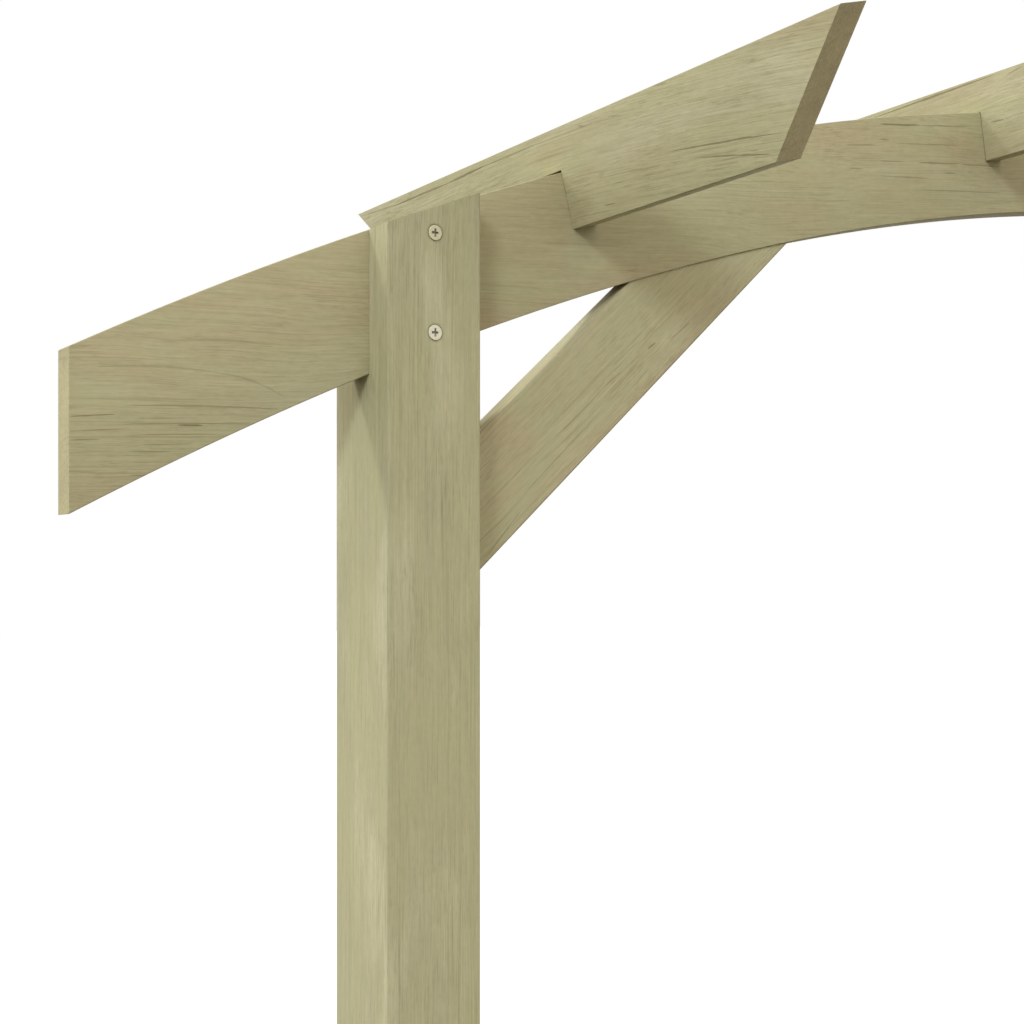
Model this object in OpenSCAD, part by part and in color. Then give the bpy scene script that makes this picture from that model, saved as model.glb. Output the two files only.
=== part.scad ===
// Garden pergola with one row of posts. Two square posts are slotted at the top and carry an
// arched beam made of two halves. Five slats are notched over the beam and lean with the arch,
// and a brace stiffens each corner. The front is -Y, the ground is Z = 0 and X = 0 is the crown.

/* [Overall] */
// Height from the ground to the top of the crown slat
height = 2200; // [2000:10:2500]
// Length of the arched beam from tip to tip
beam_len = 2500; // [2400:10:2700]
// Distance over the outer faces of the two posts
post_spread = 2106; // [2000:2:2200]

/* [Posts] */
// Width and depth of a post
post_w = 70; // [60:1:90]

/* [Arched beam] */
// Radius of the beam's top edge
arch_r = 2780; // [2600:10:3200]
// Depth of the beam, square to the arch
beam_h = 86; // [80:1:110]
// Thickness of the beam
beam_t = 21; // [18:0.5:28]
// Length of the lap that joins the two halves at the crown
lap_len = 140; // [120:5:200]

/* [Slats] */
// Distance from slat to slat along the ground
slat_pitch = 445; // [400:5:480]
// Length of a slat along its top edge
slat_len = 540; // [400:10:800]
// Height of a slat
slat_h = 70; // [60:1:90]
// Thickness of a slat
slat_t = 21; // [16:0.5:28]
// How far each end is cut back from the top edge to the bottom edge
slat_cut = 66; // [0:1:100]
// Depth of the notch that straddles the beam
notch_depth = 41.5; // [30:0.5:45]
// Lean of the two outer slats, in degrees
outer_lean = 15.4; // [5:0.1:20]
// Lean of the two inner slats, in degrees
inner_lean = 10; // [3:0.1:12]

/* [Braces] */
// Width of a brace
brace_w = 70; // [60:1:90]
// Thickness of a brace
brace_t = 18; // [16:0.5:21]
// Slope of a brace, in degrees
brace_slope = 41.5; // [38:0.5:50]
// Drop from the beam's underside to the brace's lowest corner, at the post
brace_drop = 170; // [150:1:260]

/* [Screws] */
// Diameter of a screw's shank
screw_d = 5; // [4:0.1:6]
// Length of a screw, head and all
screw_len = 60; // [55:1:65]
// Diameter of a screw's head
head_d = 10.5; // [9:0.1:11.5]
// Distance from the post's top down to its upper screw
post_screw_drop = 17; // [14:0.5:22]
// Distance between the two screws of a post
post_screw_gap = 64; // [50:1:66]
// Wood between a brace screw's head and the joint it closes
brace_bite = 30; // [25:1:32]
// Depth at which the lap screws' heads are sunk in the beam's underside
lap_sink = 6; // [4:0.5:8]

/* [Fits] */
// Easing of the long edges of every board and post
edge_r = 1.5; // [0.5:0.1:2.5]
// Gap at the notches, slots and curved seats
fit_gap = 0.3; // [0.2:0.05:0.5]
// Gap where a brace butts against the beam, which its screw pulls tight
butt_gap = 0.05; // [0:0.01:0.3]
// Gap around a screw
hole_play = 0.15; // [0.1:0.05:0.3]

/* [Hidden] */

eps = 1;                                  // how far a cutting shape runs past a face
arc_fn = 720;                             // steps of a full circle at the size of the arch
round_fn = 48;

slat_cover = slat_h - notch_depth;        // wood left above a notch
crown_z = height - slat_cover - fit_gap;  // top of the beam at the crown
arch_z = crown_z - arch_r;                // centre of the arch
low_r = arch_r - beam_h;                  // radius of the beam's lower edge
lap_z = crown_z - beam_h / 2;             // level of the lap between the two halves

post_out = post_spread / 2;
post_in = post_out - post_w;
post_mid = post_out - post_w / 2;

foot_z = arc_low(post_in) - brace_drop;               // lowest corner of a brace
foot_h = brace_w / cos(brace_slope);                  // height of a brace's foot on the post
head_low = arch_angle([-post_in, foot_z]);            // where a brace's lower edge meets the beam
head_high = arch_angle([-post_in, foot_z + foot_h]);  // where its upper edge does
foot_share = 0.4;                                     // place of the foot screw up the foot
head_share = 0.6;                                     // place of the head screw along the head

sink_depth = 3;                           // height of a countersunk head
sink_edge = 0.4;                          // straight rim of a countersunk head
tip_len = 6;                              // pointed end of a screw
tip_d = 0.6;                              // width left at the point
bore_play = 0.5;                          // room around a head at the bottom of a bore
recess_w = 1.1;                           // width of one bar of the cross recess
recess_len = 5.6;                         // length of one bar
recess_depth = 1.8;

wood = "#aaa57f";
wood_light = "#b8b38b";
metal = "#c8c4a0";

// Height of the beam's top and lower edges at a distance from the crown
function arc_top(x) = arch_z + sqrt(arch_r * arch_r - x * x);
function arc_low(x) = arch_z + sqrt(low_r * low_r - x * x);

// Angle from upright, about the arch's centre, at which a line at the brace's slope
// from point p meets the beam's lower edge
function arch_angle(p) =
    let (d = [cos(brace_slope), sin(brace_slope)],
         u = p - [0, arch_z],
         along = u * d,
         reach = sqrt(along * along - u * u + low_r * low_r) - along,
         hit = u + reach * d)
    atan2(hit[0], hit[1]);

// Lean and seat of slat i, counted from -2 at the left to 2 at the right
function lean_of(i) = sign(i) * (abs(i) == 2 ? outer_lean : abs(i) == 1 ? inner_lean : 0);
function seat_of(i) =
    let (lean = lean_of(i))
    fit_gap + max([for (s = [-1, 0, 1])
        arc_top(i * slat_pitch + s * slat_t / 2 * cos(lean)) + s * slat_t / 2 * sin(lean)]);

// Board or post section with eased corners
module eased(w, h) {
    square([w - 2 * edge_r, h], center = true);
    square([w, h - 2 * edge_r], center = true);
    for (sx = [-1, 1], sy = [-1, 1])
        translate([sx * (w / 2 - edge_r), sy * (h / 2 - edge_r)])
            circle(r = edge_r, $fn = round_fn);
}

// Section of the arch, whose long edges are bevelled instead of rounded
module bevelled(w, h) {
    intersection() {
        square([w, h], center = true);
        rotate(45) square(sqrt(2) * ((w + h) / 2 - edge_r), center = true);
    }
}

// Extrudes an outline drawn in X and Z through a depth, centred on Y = 0
module side_view(depth) {
    rotate([90, 0, 0])
        translate([0, 0, -depth / 2])
            linear_extrude(depth) children();
}

// Stands children on a radius of the arch, with +Z pointing away from its centre
module on_arch(angle, r) {
    translate([0, 0, arch_z])
        rotate([0, angle, 0])
            translate([0, 0, r]) children();
}

module mirrored(side) {
    if (side > 0) mirror([1, 0, 0]) children();
    else children();
}

module at_slat(i) {
    translate([i * slat_pitch, 0, seat_of(i)])
        rotate([0, lean_of(i), 0]) children();
}

// Screws point down -Z, with the flat of their countersunk heads on Z = 0
module cross_recess() {
    for (a = [0, 90])
        rotate([0, 0, a])
            translate([-recess_len / 2, -recess_w / 2, -recess_depth])
                cube([recess_len, recess_w, recess_depth + eps]);
}

module screw() {
    color(metal)
        difference() {
            union() {
                translate([0, 0, -screw_len])
                    cylinder(d1 = tip_d, d2 = screw_d, h = tip_len, $fn = round_fn);
                translate([0, 0, tip_len - screw_len])
                    cylinder(d = screw_d, h = screw_len - tip_len, $fn = round_fn);
                translate([0, 0, -sink_depth])
                    cylinder(d1 = screw_d, d2 = head_d, h = sink_depth - sink_edge, $fn = round_fn);
                translate([0, 0, -sink_edge])
                    cylinder(d = head_d, h = sink_edge, $fn = round_fn);
            }
            cross_recess();
        }
}

module shank_hole() {
    translate([0, 0, -screw_len - 2 * hole_play])
        cylinder(d = screw_d + 2 * hole_play, h = screw_len + 2 * hole_play + eps, $fn = round_fn);
}

module screw_hole() {
    shank_hole();
    translate([0, 0, -sink_depth])
        cylinder(d1 = screw_d + 2 * hole_play, d2 = head_d + 2 * hole_play,
                 h = sink_depth - sink_edge, $fn = round_fn);
    translate([0, 0, -sink_edge])
        cylinder(d = head_d + 2 * hole_play, h = sink_edge + eps, $fn = round_fn);
}

// Hole for a screw whose head sits at the bottom of a bore
module bored_hole(depth) {
    screw_hole();
    cylinder(d = head_d + 2 * bore_play, h = depth, $fn = round_fn);
}

// Places of the screws on the left side, which the right side mirrors
module at_post_screws() {
    for (drop = [post_screw_drop, post_screw_drop + post_screw_gap])
        translate([-post_mid, -post_w / 2, arc_top(post_mid) - drop])
            rotate([90, 0, 0]) children();
}

module at_foot_screw() {
    translate([-post_in + brace_bite, 0, foot_z + foot_share * foot_h])
        rotate([0, 90, 0]) children();
}

module at_head_screw() {
    on_arch(head_high + head_share * (head_low - head_high), low_r - butt_gap - brace_bite)
        rotate([180, 0, 0]) children();
}

module at_lap_screws() {
    for (s = [-1, 1])
        translate([s * lap_len / 4, 0, arc_low(lap_len / 4) + lap_sink])
            rotate([180, 0, 0]) children();
}

// Whole arch, before it is parted at the crown
module arch_blank() {
    half_angle = asin(beam_len / 2 / low_r) + eps;
    intersection() {
        translate([0, 0, arch_z])
            rotate([90, 0, 0])
                rotate([0, 0, 90 - half_angle])
                    rotate_extrude(angle = 2 * half_angle, $fn = arc_fn)
                        translate([arch_r - beam_h / 2, 0]) bevelled(beam_h, beam_t);
        translate([-beam_len / 2, -beam_t, 0])
            cube([beam_len, 2 * beam_t, height]);
    }
}

// One half of the arch, drawn as the left one. The left half has the upper tongue of the lap
// and the right half the lower one, and each ends a little short of the other's shoulder
module beam_half(side) {
    tongue_edge = side < 0 ? 2 * height : 0;
    shoulder_edge = side < 0 ? 0 : 2 * height;
    color(wood)
        mirrored(side)
            difference() {
                intersection() {
                    arch_blank();
                    side_view(2 * beam_t)
                        polygon([
                            [-beam_len, tongue_edge],
                            [lap_len / 2 - fit_gap, tongue_edge],
                            [lap_len / 2 - fit_gap, lap_z],
                            [-lap_len / 2, lap_z],
                            [-lap_len / 2, shoulder_edge],
                            [-beam_len, shoulder_edge],
                        ]);
                }
                at_post_screws() shank_hole();
                at_head_screw() shank_hole();
                at_lap_screws() bored_hole(lap_sink + eps);
                for (i = [-2:0])
                    at_slat(i) translate([0, 0, slat_cover]) shank_hole();
            }
}

module post(side) {
    top_out = arc_top(post_out);
    top_in = arc_top(post_in);
    color(wood_light)
        mirrored(side)
            difference() {
                translate([-post_mid, 0, 0]) linear_extrude(top_in) eased(post_w, post_w);
                side_view(2 * post_w)
                    polygon([
                        [-post_out, top_out], [-post_in, top_in],
                        [-post_in + eps, top_in + post_w], [-post_out - eps, top_in + post_w],
                        [-post_out - eps, top_out - eps * (top_in - top_out) / post_w],
                    ]);
                // slot for the beam, its floor curved like the beam's lower edge
                difference() {
                    translate([-post_out - eps, -beam_t / 2 - fit_gap, arc_low(post_out) - beam_h])
                        cube([post_w + 2 * eps, beam_t + 2 * fit_gap, 3 * beam_h]);
                    translate([0, 0, arch_z])
                        rotate([90, 0, 0])
                            cylinder(r = low_r - fit_gap, h = 2 * post_w, center = true, $fn = arc_fn);
                }
                at_post_screws() screw_hole();
                at_foot_screw() shank_hole();
            }
}

module slat(i) {
    color(wood)
        at_slat(i)
            difference() {
                intersection() {
                    translate([0, 0, slat_cover - slat_h / 2])
                        rotate([90, 0, 0])
                            linear_extrude(slat_len, center = true) eased(slat_t, slat_h);
                    rotate([0, 0, 90])
                        side_view(2 * slat_t)
                            polygon([
                                [-slat_len / 2 + slat_cut, -notch_depth],
                                [slat_len / 2 - slat_cut, -notch_depth],
                                [slat_len / 2, slat_cover],
                                [-slat_len / 2, slat_cover],
                            ]);
                }
                translate([-slat_t, -beam_t / 2 - fit_gap, -notch_depth - eps])
                    cube([2 * slat_t, beam_t + 2 * fit_gap, notch_depth + eps]);
                translate([0, 0, slat_cover]) screw_hole();
            }
}

module slat_screw(i) {
    at_slat(i) translate([0, 0, slat_cover]) screw();
}

// Brace from the post's inner face up to the beam's lower edge
module brace(side) {
    blank_len = 2 * (low_r * (sin(head_low) - sin(head_high)) + brace_drop + brace_w);
    color(wood)
        mirrored(side)
            difference() {
                intersection() {
                    translate([-post_in, 0, foot_z])
                        rotate([0, -brace_slope, 0])
                            translate([blank_len / 2 - brace_w, 0, brace_w / 2])
                                rotate([0, 90, 0])
                                    linear_extrude(blank_len, center = true) eased(brace_w, brace_t);
                    translate([0, 0, arch_z])
                        rotate([90, 0, 0])
                            cylinder(r = low_r - butt_gap, h = 2 * brace_t, center = true, $fn = arc_fn);
                    translate([-post_in, -brace_t, 0])
                        cube([post_in, 2 * brace_t, height]);
                }
                at_foot_screw() bored_hole(brace_w);
                at_head_screw() bored_hole(brace_w);
            }
}

module post_screws(side) mirrored(side) at_post_screws() screw();

module brace_screws(side) {
    mirrored(side) {
        at_foot_screw() screw();
        at_head_screw() screw();
    }
}

module lap_screws() at_lap_screws() screw();

post(-1);  // left_post
post(1);  // right_post
beam_half(-1);  // left_beam_half
beam_half(1);  // right_beam_half
slat(-2);  // slat_outer_left
slat(-1);  // slat_inner_left
slat(0);  // slat_crown
slat(1);  // slat_inner_right
slat(2);  // slat_outer_right
brace(-1);  // left_brace
brace(1);  // right_brace
post_screws(-1);  // left_post_screws
post_screws(1);  // right_post_screws
lap_screws();
brace_screws(-1);  // left_brace_screws
brace_screws(1);  // right_brace_screws
slat_screw(-2);  // screw_outer_left
slat_screw(-1);  // screw_inner_left
slat_screw(0);  // screw_crown
slat_screw(1);  // screw_inner_right
slat_screw(2);  // screw_outer_right
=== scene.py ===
import math

import bpy
from mathutils import Euler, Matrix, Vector


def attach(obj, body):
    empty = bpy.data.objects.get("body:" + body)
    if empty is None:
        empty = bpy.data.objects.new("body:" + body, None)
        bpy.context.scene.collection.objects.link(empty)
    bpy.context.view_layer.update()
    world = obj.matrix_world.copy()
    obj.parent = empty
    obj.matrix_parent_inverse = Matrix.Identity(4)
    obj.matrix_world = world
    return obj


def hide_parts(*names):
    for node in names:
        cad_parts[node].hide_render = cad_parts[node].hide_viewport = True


# Garden pergola with one row of posts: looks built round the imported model.
# Metres, +Z up, the front is -Y and X = 0 is the crown of the arch.

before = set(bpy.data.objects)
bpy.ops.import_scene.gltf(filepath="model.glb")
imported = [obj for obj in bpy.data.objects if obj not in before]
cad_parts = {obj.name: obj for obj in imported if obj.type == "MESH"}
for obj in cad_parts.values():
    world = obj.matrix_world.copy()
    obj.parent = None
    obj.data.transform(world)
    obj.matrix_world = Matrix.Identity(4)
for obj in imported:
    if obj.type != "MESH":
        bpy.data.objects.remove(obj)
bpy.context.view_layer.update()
scene = bpy.context.scene

# Sizes that several pieces share, as in the model
arch = {
    "topRadius": 2.780,
    "crownHeight": 2.1712,
    "depth": 0.086,
    "thickness": 0.021,
    "halfLength": 1.250,
    "lapLength": 0.140,
    "fitGap": 0.0003,
    "easedEdge": 0.0007,
}
arch["centreHeight"] = arch["crownHeight"] - arch["topRadius"]
arch["lowRadius"] = arch["topRadius"] - arch["depth"]


def archTop(x):
    return arch["centreHeight"] + math.sqrt(arch["topRadius"] ** 2 - x * x)


def archLow(x):
    return arch["centreHeight"] + math.sqrt(arch["lowRadius"] ** 2 - x * x)


# Places of the screws on the left side: the middle of the head's flat face, and its turn
fixing = {
    "postMiddle": 1.018,
    "postInner": 0.983,
    "postFront": -0.035,
    "postDrops": (0.017, 0.081),
    "braceSlope": 41.5,
    "braceDepth": 0.070,
    "braceDrop": 0.170,
    "footShare": 0.4,
    "headShare": 0.6,
    "bite": 0.030,
    "buttGap": 0.00005,
    "lapSink": 0.006,
}
slatRow = {"pitch": 0.445, "cover": 0.0285, "thickness": 0.021, "leans": {2: 15.4, 1: 10.0, 0: 0.0}}


def leanOf(number):
    return math.radians(math.copysign(slatRow["leans"][abs(number)], number))


def seatOf(number):
    middle, lean = number * slatRow["pitch"], leanOf(number)
    seats = []
    for side in (-1, 0, 1):
        off = side * slatRow["thickness"] / 2
        seats.append(archTop(middle + off * math.cos(lean)) + off * math.sin(lean))
    return arch["fitGap"] + max(seats)


def braceFoot():
    # Height of the brace's lower corner on the post, and how tall its upright cut is
    foot = archLow(fixing["postInner"]) - fixing["braceDrop"]
    return foot, fixing["braceDepth"] / math.cos(math.radians(fixing["braceSlope"]))


def braceMeetsArch(height):
    # Angle about the arch's centre where a line at the brace's slope reaches the beam
    slope = math.radians(fixing["braceSlope"])
    along = Vector((math.cos(slope), math.sin(slope)))
    start = Vector((-fixing["postInner"], height - arch["centreHeight"]))
    near = start.dot(along)
    reach = math.sqrt(near * near - start.dot(start) + arch["lowRadius"] ** 2) - near
    hit = start + reach * along
    return math.atan2(hit.x, hit.y)


def postScrewSpots():
    top = archTop(fixing["postMiddle"])
    return [((-fixing["postMiddle"], fixing["postFront"], top - drop), (math.pi / 2, 0, 0))
            for drop in fixing["postDrops"]]


def footScrewSpot():
    foot, tall = braceFoot()
    return (-fixing["postInner"] + fixing["bite"], 0, foot + fixing["footShare"] * tall), (0, math.pi / 2, 0)


def headScrewSpot():
    foot, tall = braceFoot()
    low, high = braceMeetsArch(foot), braceMeetsArch(foot + tall)
    angle = high + fixing["headShare"] * (low - high)
    radius = arch["lowRadius"] - fixing["buttGap"] - fixing["bite"]
    return (radius * math.sin(angle), 0, arch["centreHeight"] + radius * math.cos(angle)), (math.pi, angle, 0)


def lapScrewSpots():
    out = arch["lapLength"] / 4
    return [((x, 0, archLow(out) + fixing["lapSink"]), (math.pi, 0, 0)) for x in (-out, out)]


def slatScrewSpot(number):
    lean, up = leanOf(number), slatRow["cover"]
    across = number * slatRow["pitch"]
    return (across + up * math.sin(lean), 0, seatOf(number) + up * math.cos(lean)), (0, lean, 0)


# Helpers for node trees. A value is a plain one or another node's socket

def fill(tree, socket, value):
    if isinstance(value, bpy.types.NodeSocket):
        tree.links.new(value, socket)
    else:
        socket.default_value = value


def addNode(tree, kind, inputs=None, **settings):
    node = tree.nodes.new(kind)
    for name, value in settings.items():
        setattr(node, name, value)
    for key, value in (inputs or {}).items():
        fill(tree, node.inputs[key], value)
    return node


def outOf(tree, kind, inputs=None, **settings):
    return addNode(tree, kind, inputs, **settings).outputs[0]


def calc(tree, operation, a, b=0.0, c=0.0):
    return outOf(tree, "ShaderNodeMath", {0: a, 1: b, 2: c}, operation=operation)


def plus(tree, a, b):
    return calc(tree, "ADD", a, b)


def less(tree, a, b):
    return calc(tree, "SUBTRACT", a, b)


def times(tree, a, b):
    return calc(tree, "MULTIPLY", a, b)


def over(tree, a, b):
    return calc(tree, "DIVIDE", a, b)


def timesPlus(tree, a, b, c):
    return calc(tree, "MULTIPLY_ADD", a, b, c)


def halfOf(tree, value):
    return times(tree, value, 0.5)


def negative(tree, value):
    return times(tree, value, -1.0)


def larger(tree, a, b):
    return calc(tree, "MAXIMUM", a, b)


def longSide(tree, a, b):
    return calc(tree, "SQRT", plus(tree, times(tree, a, a), times(tree, b, b)))


def shortSide(tree, longSquare, b):
    return calc(tree, "SQRT", less(tree, longSquare, times(tree, b, b)))


def calcVector(tree, operation, a, b):
    return outOf(tree, "ShaderNodeVectorMath", {0: a, 1: b}, operation=operation)


def distance(tree, a, b):
    return addNode(tree, "ShaderNodeVectorMath", {0: a, 1: b}, operation="DISTANCE").outputs["Value"]


def point(tree, x, y, z):
    return outOf(tree, "ShaderNodeCombineXYZ", {0: x, 1: y, 2: z})


def split(tree, vector):
    return addNode(tree, "ShaderNodeSeparateXYZ", {0: vector}).outputs


def stepped(tree, value, low, high):
    return addNode(tree, "ShaderNodeMapRange", {"Value": value, "From Min": low, "From Max": high},
                   interpolation_type="SMOOTHSTEP").outputs["Result"]


def mixed(tree, amount, a, b, blend="MIX"):
    node = addNode(tree, "ShaderNodeMix", data_type="RGBA", blend_type=blend)
    sockets = {socket.identifier: socket for socket in (*node.inputs, *node.outputs)}
    for key, value in (("Factor_Float", amount), ("A_Color", a), ("B_Color", b)):
        fill(tree, sockets[key], value)
    return sockets["Result_Color"]


def socketKind(value):
    if isinstance(value, str):
        return value
    if isinstance(value, tuple):
        return "Color" if len(value) == 4 else "Vector"
    return {bool: "Bool", int: "Int", float: "Float"}[type(value)]


def newTree(name, kind, inputs, outputs):
    # Each input has its first value, which also says its kind, or only the name of a kind
    tree = bpy.data.node_groups.new(name, kind)
    for label, value in inputs.items():
        socket = tree.interface.new_socket(label, in_out="INPUT", socket_type="NodeSocket" + socketKind(value))
        if not isinstance(value, str):
            socket.default_value = value
    for label, value in outputs.items():
        tree.interface.new_socket(label, in_out="OUTPUT", socket_type="NodeSocket" + value)
    return tree, tree.nodes.new("NodeGroupInput").outputs, tree.nodes.new("NodeGroupOutput").inputs


def emptyTree(block):
    block.use_nodes = True
    block.node_tree.nodes.clear()
    return block.node_tree


# Wood. The grain runs along X of the vector that goes in, and the heart of the log is the X axis

# A mark is: start along and across, end along and across, bow, width (all in mm), strength
# A warm patch, partly the wood's own tone and partly painted shade, is: middle along and across, half length, half
# width (all in mm), strength
mmInMetre = 1000
woodLook = {
    "turn": (0, 0, 0),
    "origin": (0, 0, 0),
    "heart": (0, 0, 0),
    "marks": [],
    "patches": [],
    # places of screw heads that get a ring of painted shade
    "screws": [],
    "Slope": 0.0,
    "Bend": 0.0,
    "Waviness": 0.016,
    "Ring Spacing": 0.0042,
    "Ring Strength": 0.38,
    "Fibre Strength": 0.50,
    "Dash Strength": 0.22,
    "Streak Strength": 0.26,
    "Blotch Strength": 1.0,
    "Edge Amount": 0.6,
    "Tone": (0.415, 0.395, 0.232, 1),
    "Warm Tone": (0.385, 0.335, 0.200, 1),
    "Pale Tone": (0.455, 0.425, 0.275, 1),
    "Line Color": (0.19, 0.155, 0.08, 1),
    "End Color": (0.41, 0.375, 0.215, 1),
    # colour of the painted shade along the eased edges
    "Edge Color": (0.32, 0.29, 0.175, 1),
}

# Noise drawn out along the grain: changes in a metre along and across it, detail and roughness.
# With two more numbers it becomes a mask, which starts at the first of them and is full at the second
patterns = {
    "slowSway": (4.0, 9.0, 2.0, 0.5),
    "quickSway": (16.0, 60.0, 2.0, 0.5),
    "ringWander": (1.2, 45.0, 2.0, 0.5),
    "ringFade": (7.0, 60.0, 3.0, 0.5, 0.40, 0.60),
    "fibre": (12.0, 950.0, 3.0, 0.72),
    "dashes": (32.0, 950.0, 1.0, 0.5, 0.58, 0.70),
    "dashFields": (9.0, 26.0, 2.0, 0.5, 0.38, 0.66),
    "flecks": (95.0, 1300.0, 1.0, 0.5, 0.56, 0.72),
    "streaks": (5.0, 430.0, 2.0, 0.5, 0.62, 0.76),
    "warmth": (5.0, 20.0, 4.0, 0.6, 0.40, 0.66),
    "paleness": (7.0, 26.0, 3.0, 0.55, 0.46, 0.70),
    "mottle": (150.0, 320.0, 3.0, 0.65),
    "endClouds": (22.0, 30.0, 3.0, 0.6),
    "markRim": (110.0, 500.0, 2.0, 0.5),
    "screwRim": (900.0, 900.0, 1.0, 0.5),
    "patchRim": (25.0, 120.0, 3.0, 0.6),
}
grainShape = {
    "quickSwing": 0.0016,
    "ringWander": 0.009,
    "lateRise": 4.0,
    "lateEnd": 0.90,
    "ringVariety": 2.5,
    "faintestRing": 0.15,
    "fleckShare": 0.9,
    "barestField": 0.3,
    "mottleAmount": 0.20,
    "endMottle": 0.2,
    "cloudAmount": 0.5,
    "fibreHeight": 0.8,
    "ringHeight": -0.5,
    "markHeight": -0.6,
    "roughness": 0.64,
    "mottleRoughness": 0.25,
    "ringRoughness": 0.10,
    "shine": 0.10,
    "bumpStrength": 0.35,
    "bumpDistance": 0.0004,
}


def pattern(tree, vector, name):
    along, across, detail, roughness, *limits = patterns[name]
    scaled = calcVector(tree, "MULTIPLY", vector, (along, across, across))
    noise = addNode(tree, "ShaderNodeTexNoise", {
        "Vector": scaled, "Scale": 1.0, "Detail": detail, "Roughness": roughness}).outputs["Fac"]
    return stepped(tree, noise, *limits) if limits else less(tree, noise, 0.5)


def grainValues(look):
    return {key: value for key, value in look.items() if key[0].isupper()}


def makeGrain(shape):
    # Sawn pine: long fibres, thin late rings that come and go, blotches, and a duller end grain
    tree, given, result = newTree("pineGrain", "ShaderNodeTree", {
        "Vector": "Vector", "Heart": (0, 0, 0), "End Grain": 0.0, "Eased Edge": 0.0, "Marks": 0.0,
        "Warm Tone And Shade": 0.0, **grainValues(woodLook)}, {"Color": "Color", "Height": "Float", "Roughness": "Float"})
    parts = split(tree, given["Vector"])
    rise = times(tree, parts[0], timesPlus(tree, parts[0], given["Bend"], given["Slope"]))
    straight = point(tree, parts[0], parts[1], less(tree, parts[2], rise))
    placed = calcVector(tree, "ADD", straight, given["Heart"])
    sway = timesPlus(tree, pattern(tree, placed, "slowSway"), given["Waviness"],
                     times(tree, pattern(tree, placed, "quickSway"), shape["quickSwing"]))
    vector = calcVector(tree, "ADD", placed, point(tree, 0.0, sway, sway))

    parts = split(tree, vector)
    fromHeart = timesPlus(tree, pattern(tree, vector, "ringWander"), shape["ringWander"],
                          longSide(tree, parts[1], parts[2]))
    rings = over(tree, fromHeart, given["Ring Spacing"])
    season = calc(tree, "FRACT", rings)
    late = times(tree, calc(tree, "POWER", season, shape["lateRise"]), stepped(tree, season, 1.0, shape["lateEnd"]))
    character = addNode(tree, "ShaderNodeTexWhiteNoise", {"W": calc(tree, "FLOOR", rings)},
                        noise_dimensions="1D").outputs["Value"]
    character = timesPlus(tree, calc(tree, "POWER", character, shape["ringVariety"]),
                          1 - shape["faintestRing"], shape["faintestRing"])
    lines = times(tree, times(tree, late, character), pattern(tree, vector, "ringFade"))
    flecks = times(tree, pattern(tree, vector, "flecks"), shape["fleckShare"])
    fields = timesPlus(tree, pattern(tree, vector, "dashFields"), 1 - shape["barestField"], shape["barestField"])
    dashes = times(tree, larger(tree, pattern(tree, vector, "dashes"), flecks), fields)
    streaks = pattern(tree, vector, "streaks")
    fibre, mottle = pattern(tree, vector, "fibre"), pattern(tree, vector, "mottle")

    endMask = given["End Grain"]
    warmth = times(tree, pattern(tree, vector, "warmth"), given["Blotch Strength"])
    # Browner patches: partly the wood's own warm tone, partly painted warm shade
    color = mixed(tree, larger(tree, warmth, given["Warm Tone And Shade"]), given["Tone"], given["Warm Tone"])
    paleness = times(tree, pattern(tree, vector, "paleness"), given["Blotch Strength"])
    color = mixed(tree, paleness, color, given["Pale Tone"])
    color = mixed(tree, endMask, color, given["End Color"])
    # Painted shade along the eased long edges
    color = mixed(tree, times(tree, given["Eased Edge"], given["Edge Amount"]), color, given["Edge Color"])
    marks = times(tree, given["Marks"], less(tree, 1.0, endMask))
    for amount in (times(tree, streaks, given["Streak Strength"]), times(tree, dashes, given["Dash Strength"]),
                   times(tree, lines, given["Ring Strength"]), marks):
        color = mixed(tree, amount, color, given["Line Color"])
    amount = timesPlus(tree, endMask, shape["endMottle"], shape["mottleAmount"])
    shade = timesPlus(tree, fibre, given["Fibre Strength"], timesPlus(tree, mottle, amount, 1.0))
    clouds = times(tree, pattern(tree, placed, "endClouds"), endMask)
    shade = timesPlus(tree, clouds, shape["cloudAmount"], shade)
    grey = outOf(tree, "ShaderNodeCombineColor", {0: shade, 1: shade, 2: shade})
    height = timesPlus(tree, lines, shape["ringHeight"], timesPlus(tree, fibre, shape["fibreHeight"], 0.5))
    rough = timesPlus(tree, mottle, shape["mottleRoughness"], shape["roughness"])
    fill(tree, result["Color"], mixed(tree, 1.0, color, grey, "MULTIPLY"))
    fill(tree, result["Height"], timesPlus(tree, marks, shape["markHeight"], height))
    fill(tree, result["Roughness"], timesPlus(tree, lines, shape["ringRoughness"], rough))
    return tree


def newMask(name, values):
    return newTree(name, "ShaderNodeTree", {"Vector": "Vector", "Before": 0.0, "Strength": 0.5, **values},
                   {"Mask": "Float"})


def endMaskTree(tree, given, result, mask):
    # The mask at its strength, together with the masks before it
    mask = times(tree, mask, given["Strength"])
    fill(tree, result["Mask"], larger(tree, mask, given["Before"]))
    return tree


def makeDarkMark():
    # One dark resin streak on a board: a thin line with pointed ends and ragged sides
    tree, given, result = newMask("darkMark", {
        "Along": 0.0, "Across": 0.0, "Length": 0.05, "Rise": 0.0, "Bow": 0.0, "Width": 0.001})
    bluntness, raggedness, core, thinnest = 0.6, 1.7, 0.25, 0.00001
    parts = split(tree, given["Vector"])
    share = over(tree, less(tree, parts[0], given["Along"]), given["Length"])
    bulge = times(tree, times(tree, share, 4.0), less(tree, 1.0, share))
    line = timesPlus(tree, bulge, given["Bow"], timesPlus(tree, share, given["Rise"], given["Across"]))
    full = calc(tree, "POWER", larger(tree, bulge, 0.0), bluntness)
    ragged = timesPlus(tree, pattern(tree, given["Vector"], "markRim"), raggedness, 1.0)
    width = times(tree, times(tree, full, given["Width"]), ragged)
    off = calc(tree, "ABSOLUTE", less(tree, parts[2], line))
    return endMaskTree(tree, given, result, stepped(tree, over(tree, off, plus(tree, width, thinnest)), 1.0, core))


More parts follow.
